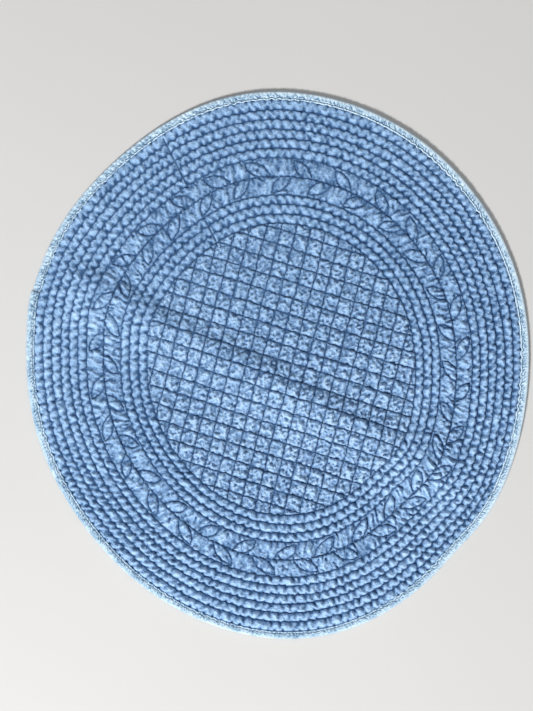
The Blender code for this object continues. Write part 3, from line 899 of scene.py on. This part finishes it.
# The binding: a bias strip folded over the rim, so its section is a C.
binding = {
    "spacing": 0.65 * mm,
    "lapAngle": 163.6, "lapFade": 9.0, "lapOut": 0.8 * mm, "lapUp": 0.5 * mm, "lapShadeWidth": 0.5 * mm,
    "lumpPitch": 4.4 * mm, "lumpDepth": 0.75 * mm, "lumpDrift": 2.6, "lumpLean": 0.55,
    "leastLumps": 0.4, "lumpsRise": (-0.5, 0.7),        # the lumps are shallower at the bottom than at the top
    # distance in from the rim and height in mm, how much of the lumps it takes, how much of the lip's waves
    "section": (
        (0.0, 1.9, 0, 0), (0.06, 2.5, 0.2, 0), (0.30, 3.05, 0.5, 0), (0.75, 3.5, 0.8, 0), (1.4, 3.75, 1, 0),
        (2.2, 3.85, 1, 0.1), (3.0, 3.75, 1, 0.2), (3.8, 3.6, 0.9, 0.5), (4.35, 3.45, 0.6, 0.8), (4.7, 3.1, 0.3, 1),
        (4.85, 3.0, 0.2, 1), (5.0, 3.15, 0.2, 1), (5.3, 3.6, 0.2, 1), (5.7, 3.62, 0.2, 1), (6.0, 3.4, 0.1, 1),
        (6.15, 3.1, 0, 1), (6.05, 2.85, 0, 1), (1.0, 2.8, 0, 0), (1.0, 1.0, 0, 0), (6.1, 0.95, 0, 0),
        (6.2, 0.5, 0, 0), (6.0, 0.1, 0, 0), (5.0, 0.0, 0, 0), (2.0, 0.0, 0, 0), (1.0, 0.15, 0, 0),
        (0.35, 0.6, 0, 0), (0.08, 1.2, 0, 0)),
}
bindingLook = {
    "fadedAndLitAngle": 42.0, "roughness": 0.95, "sheen": 0.04,
    "tones": ((0.30, (0.075, 0.15, 0.26)), (0.45, (0.31, 0.46, 0.60)), (0.58, (0.56, 0.71, 0.83)),
              (0.70, (0.68, 0.82, 0.91))),
    "shadeColour": (0.015, 0.025, 0.045), "lapShade": 0.9,
    "level": 0.295, "patches": 0.35, "foldShade": -0.15, "wearAndPaintedLight": 0.20, "lipHighlight": 0.12,
    # from here to there across the strip, measured on its surface from the rim
    "wornAndLitTo": (2.2 * mm, 4.4 * mm), "lipFrom": (6.5 * mm, 6.9 * mm), "groove": 6.2 * mm,
    "grooveWidth": (0.05 * mm, 0.4 * mm), "grooveShade": 0.75, "grooveFaded": 0.65, "grooveLeast": 0.35,
    "fleckScale": 750.0, "fleckStretch": (1.0, 0.45, 1.0), "flecked": (0.38, 1.1), "patchScale": 120.0,
    "threadsPerMetre": 1500, "weaveBump": (0.4, 0.1 * mm), "patchBump": (0.6, 0.4 * mm),
}


def bindingTree():
    sizes = ("Lump Pitch", "Lump Depth", "Lump Drift", "Lump Lean", "Lap Out", "Lap Up")
    tree, inputs, outputs = newTree("bindingStrip", [("Section", "Object")] + [(label, "Float") for label in sizes])
    maths, times, plus = operations(tree)
    node, vector = partial(geometryNode, tree), partial(shaderNode, tree, "VectorMath")

    def named(label):
        return node("InputNamedAttribute", {"Name": label}, "Attribute", data_type="FLOAT")

    def stored(geometry, label, value):
        values = {"Geometry": geometry, "Name": label, "Value": value}
        return node("StoreNamedAttribute", values, data_type="FLOAT", domain="POINT")

    path = node("SetCurveNormal", {"Curve": node("MeshToCurve", {"Mesh": inputs["Geometry"]})}, mode="Z_UP")
    section = node("ObjectInfo", {"Object": inputs["Section"]}, "Geometry")
    profile = stored(node("MeshToCurve", {"Mesh": section}), "across", node("SplineParameter", output="Length"))
    strip = node("CurveToMesh", {"Curve": path, "Profile Curve": profile})
    # lumps: the strip is drawn in across its width at uneven places
    turns = maths("DIVIDE", named("along"), inputs["Lump Pitch"])
    wander = shaderNode(tree, "TexNoise", {"W": turns, "Scale": 0.45, "Detail": 1.0}, "Fac", noise_dimensions="1D")
    bowed = times(maths("POWER", maths("DIVIDE", named("across"), 6 * mm), 2.0), inputs["Lump Lean"])
    turns = times(plus(plus(turns, times(wander, inputs["Lump Drift"])), bowed), math.pi)
    fold = maths("SUBTRACT", 1.0, maths("POWER", maths("ABSOLUTE", maths("SINE", turns)), 0.75))
    fold = times(fold, named("rippling"))
    down = times(times(fold, named("lumpShare")), times(inputs["Lump Depth"], -1.0))
    up = times(times(named("lap"), named("lumpShare")), inputs["Lap Up"])
    outward = plus(times(named("wave"), named("lipShare")), times(named("lap"), inputs["Lap Out"]))
    flat = vector({0: node("InputPosition"), 1: (1, 1, 0)}, operation="MULTIPLY")
    sideways = vector({0: vector({0: flat}, operation="NORMALIZE"), "Scale": outward}, operation="SCALE")
    upward = shaderNode(tree, "CombineXYZ", {"Z": plus(down, up)})
    offset = vector({0: sideways, 1: upward}, operation="ADD")
    moved = node("SetPosition", {"Geometry": stored(strip, "fold", fold), "Offset": offset})
    return finishTree(tree, moved, inputs, outputs)


def bindingMaterial(look):
    material, tree, shader = newMaterial("fadedBinding", look["roughness"], look["sheen"])
    maths, times, plus = operations(tree)
    along, across, fold, faded, lap = [attributeOf(tree, label)
                                       for label in ("along", "across", "fold", "faded", "lapShade")]
    # cut on the bias, so its threads run at 45 degrees to the edge
    bias = shaderNode(tree, "CombineXYZ", {"X": plus(along, across), "Y": maths("SUBTRACT", along, across)})
    stretched = shaderNode(tree, "VectorMath", {0: bias, 1: look["fleckStretch"]}, operation="MULTIPLY")
    flecks = noise(tree, stretched, look["fleckScale"], 2.0)
    patches = noise(tree, objectPlace(tree), look["patchScale"], 3.0)
    # paler towards the rim on one side, partly wear and partly painted light, and more flecked towards the lip
    inner, onLip = [ranged(tree, across, look[key], (0, 1)) for key in ("wornAndLitTo", "lipFrom")]
    flecked = times(maths("SUBTRACT", flecks, 0.5), ranged(tree, inner, (0, 1), look["flecked"]))
    tone = plus(times(patches, look["patches"]), plus(flecked, look["level"]))
    tone = plus(tone, times(maths("POWER", fold, 2.0), look["foldShade"]))
    tone = plus(tone, times(times(faded, maths("SUBTRACT", 1.0, inner)), look["wearAndPaintedLight"]))
    # painted highlight along the folded edge of the lip
    tone = plus(tone, times(times(onLip, faded), look["lipHighlight"]))
    # painted shade in the groove where the strip's lip turns down, darkest where the strip is palest
    fromGroove = maths("ABSOLUTE", maths("SUBTRACT", across, look["groove"]))
    groove = ranged(tree, fromGroove, look["grooveWidth"], (look["grooveShade"], 0))
    groove = times(groove, plus(times(faded, look["grooveFaded"]), look["grooveLeast"]))
    shade = maths("MAXIMUM", times(lap, look["lapShade"]), groove)
    weave = weaveHeight(tree, bias, look["threadsPerMetre"])
    dress(tree, shader, darkened(tree, shade, ramp(tree, tone, look["tones"]), look["shadeColour"]),
          ((weave, *look["weaveBump"]), (patches, *look["patchBump"])))
    return material


def makeBinding():
    rim = evenly(outlinePoints, binding["spacing"], True)
    angle = angleOf(rim)
    past = (angle - binding["lapAngle"]) % 360
    fromLap = np.minimum(past, 360 - past) / 360 * len(rim) * binding["spacing"]
    lumped = smoothStep(*binding["lumpsRise"], np.sin(np.radians(angle)))
    path = np.column_stack((rim - boxMiddle, np.zeros(len(rim))))
    strip = pathPiece("edgeBinding", [(path, True)], {
        "lap": np.where(past < binding["lapFade"], 0.5 + 0.5 * np.cos(np.pi * past / binding["lapFade"]), 0),
        "along": past / 360 * len(rim) * binding["spacing"],
        "lapShade": np.exp(-(fromLap / binding["lapShadeWidth"]) ** 2),
        # the side that is paler, from wear and painted light
        "faded": 0.5 + 0.5 * cosine(angle - bindingLook["fadedAndLitAngle"]),
        "rippling": binding["leastLumps"] + (1 - binding["leastLumps"]) * lumped,
        "wave": lipWave(angle)})
    table = np.array(binding["section"])
    profile = np.column_stack((-table[:, 0] * mm, -table[:, 1] * mm, np.zeros(len(table))))
    section = pathPiece("bindingSection", [(profile, True)], {"lumpShare": table[:, 2], "lipShare": table[:, 3]})
    runTree(strip, bindingTree(), {
        "Section": section, "Lump Pitch": binding["lumpPitch"], "Lump Depth": binding["lumpDepth"],
        "Lump Drift": binding["lumpDrift"], "Lump Lean": binding["lumpLean"],
        "Lap Out": binding["lapOut"], "Lap Up": binding["lapUp"], "Material": bindingMaterial(bindingLook)})
    bpy.data.objects.remove(section)
    return strip


edgeBinding = makeBinding()
print("stage: binding", len(edgeBinding.data.polygons), [round(v * 1000, 2) for v in edgeBinding.dimensions])


# Sewing thread: one small lozenge of thread for each stitch.
stitches = {
    "pitch": 2.8 * mm, "length": 2.5 * mm, "thickness": 0.34 * mm, "lift": 0.10 * mm, "lengths": (0.85, 1.08),
    "edgePitch": 2.6 * mm, "edgeInset": 4.85 * mm, "edgeHeight": 3.12 * mm, "pathStep": 0.7 * mm,
    "tones": ((0.35, (0.030, 0.065, 0.14)), (0.65, (0.075, 0.14, 0.26))), "twistBump": (0.5, 0.05 * mm),
}


def stitchTree():
    tree, inputs, outputs = newTree("stitchRow", (("Pitch", "Float"), ("Length", "Float"), ("Thickness", "Float"),
                                                  ("Seed", "Int")))
    path = geometryNode(tree, "MeshToCurve", {"Mesh": inputs["Geometry"]})
    spots = newNode(tree, "GeometryNodeCurveToPoints", {"Curve": path, "Length": inputs["Pitch"]},
                    {"mode": "LENGTH"}).outputs
    shortest, longest = stitches["lengths"]
    chance = newNode(tree, "FunctionNodeRandomValue", {2: shortest, 3: longest, "Seed": inputs["Seed"]},
                     {"data_type": "FLOAT"}).outputs[1]
    size = shaderNode(tree, "CombineXYZ", {"X": inputs["Thickness"], "Y": inputs["Thickness"],
                                           "Z": operations(tree)[1](inputs["Length"], chance)})
    row = geometryNode(tree, "InstanceOnPoints", {
        "Points": spots["Points"], "Rotation": spots["Rotation"], "Scale": size,
        "Instance": geometryNode(tree, "MeshUVSphere", {"Segments": 6, "Rings": 4, "Radius": 0.5})})
    return finishTree(tree, row, inputs, outputs)


def threadMaterial():
    material, tree, shader = newMaterial("navyThread", 0.6, 0.1)
    place = objectPlace(tree)
    dress(tree, shader, ramp(tree, noise(tree, place, 300.0, 2.0), stitches["tones"]),
          ((noise(tree, place, 4000.0, 1.0), *stitches["twistBump"]),))
    return material


navyThread = threadMaterial()
rowTree = stitchTree()


def sewRows(name, lines, pitch, height, seed):
    raised = []
    for points, closed in lines:
        even = evenly(points, stitches["pathStep"], closed)
        raised.append((np.column_stack((even - boxMiddle, height + foldRise(even))), closed))
    length = stitches["length"] * pitch / stitches["pitch"]
    return runTree(pathPiece(name, raised, {}), rowTree, {
        "Pitch": pitch, "Length": length, "Thickness": stitches["thickness"], "Seed": seed, "Material": navyThread})


lineHeight = puffs["stitchHeight"] + stitches["lift"]
patternLines = sewnLeaves + sewnSquares + sewnJoins
edgeLine = (polar(rimRadius(everyAngle) - stitches["edgeInset"] + lipWave(everyAngle), everyAngle), True)
roundStitches = sewRows("roundStitches", sewnRounds, stitches["pitch"], lineHeight, 1)
patternStitches = sewRows("patternStitches", patternLines, stitches["pitch"], lineHeight, 2)
edgeStitches = sewRows("edgeStitches", [edgeLine], stitches["edgePitch"], stitches["edgeHeight"], 3)
print("stage: stitches", [len(piece.data.polygons) for piece in (roundStitches, patternStitches, edgeStitches)])

for piece, slot in ((clothRing, "quilted_cloth"), (clothDisc, "quilted_cloth"), (backingCloth, "quilted_cloth"),
                    (roundStitches, "quilted_cloth"), (patternStitches, "quilted_cloth"),
                    (edgeBinding, "binding_cloth"), (edgeStitches, "binding_cloth")):
    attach(piece, "root")
for piece in (clothRing, clothDisc, backingCloth):
    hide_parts("quilted_mat")
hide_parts("edge_binding")


def flatArea(edge):
    return float(np.mean(edge(everyAngle) ** 2)) * math.pi


def flatSize(edge):
    points = polar(edge(everyAngle), everyAngle)
    return tuple(float(side) for side in points.max(0) - points.min(0))


flatSize(rimRadius)
flatArea(rimRadius) - flatArea(stemOuter)
flatSize(stemInner)
flatArea(stemInner)
flatSize(rimRadius)
flatArea(rimRadius)

# Floor, light and camera.
studio = {
    "floorColour": (0.60, 0.59, 0.575), "floorSize": 14.0, "floorLevel": -0.1 * mm, "floorShade": 0.97,
    # name, place, size, energy
    "lights": (("key", (-1.10, -1.71, 1.71), 0.50, 95.0), ("fill", (0.9, 0.9, 1.3), 1.4, 5.0)),
    "skyColour": (0.95, 0.97, 1.0), "skyStrength": 0.31,
    "cameraPlace": (-8.15 * mm, 7.05 * mm, 721.9 * mm), "lens": 50.0,
}


def makeStudio():
    half, level = studio["floorSize"] / 2, studio["floorLevel"]
    corners = [(x * half, y * half, level) for x, y in ((-1, -1), (1, -1), (1, 1), (-1, 1))]
    floor = meshPiece("floor", corners, [(0, 1, 2, 3)], {})
    material, tree, shader = newMaterial("paleFloor", 0.85, 0.0)
    low = tuple(c * studio["floorShade"] for c in studio["floorColour"])
    tones = ((0.3, low), (0.7, studio["floorColour"]))
    dress(tree, shader, ramp(tree, noise(tree, objectPlace(tree), 3.0, 3.0), tones), ())
    floor.data.materials.append(material)
    for name, place, size, energy in studio["lights"]:
        light = bpy.data.lights.new(name, "AREA")
        light.size, light.energy = size, energy
        lamp = bpy.data.objects.new(name, light)
        lamp.location = place
        lamp.rotation_euler = (-Vector(place)).to_track_quat("-Z", "Y").to_euler()
        bpy.context.scene.collection.objects.link(lamp)
    world = bpy.data.worlds.new("softSky")
    world.use_nodes = True
    sky = world.node_tree.nodes["Background"].inputs
    sky["Color"].default_value, sky["Strength"].default_value = (*studio["skyColour"], 1), studio["skyStrength"]
    bpy.context.scene.world = world
    bpy.context.scene.view_settings.view_transform = "Standard"


makeStudio()
camera = bpy.data.objects.new("camera", bpy.data.cameras.new("camera"))
camera.data.lens = studio["lens"]
camera.location = studio["cameraPlace"]
bpy.context.scene.collection.objects.link(camera)
bpy.context.scene.camera = camera
print("stage: studio and camera")
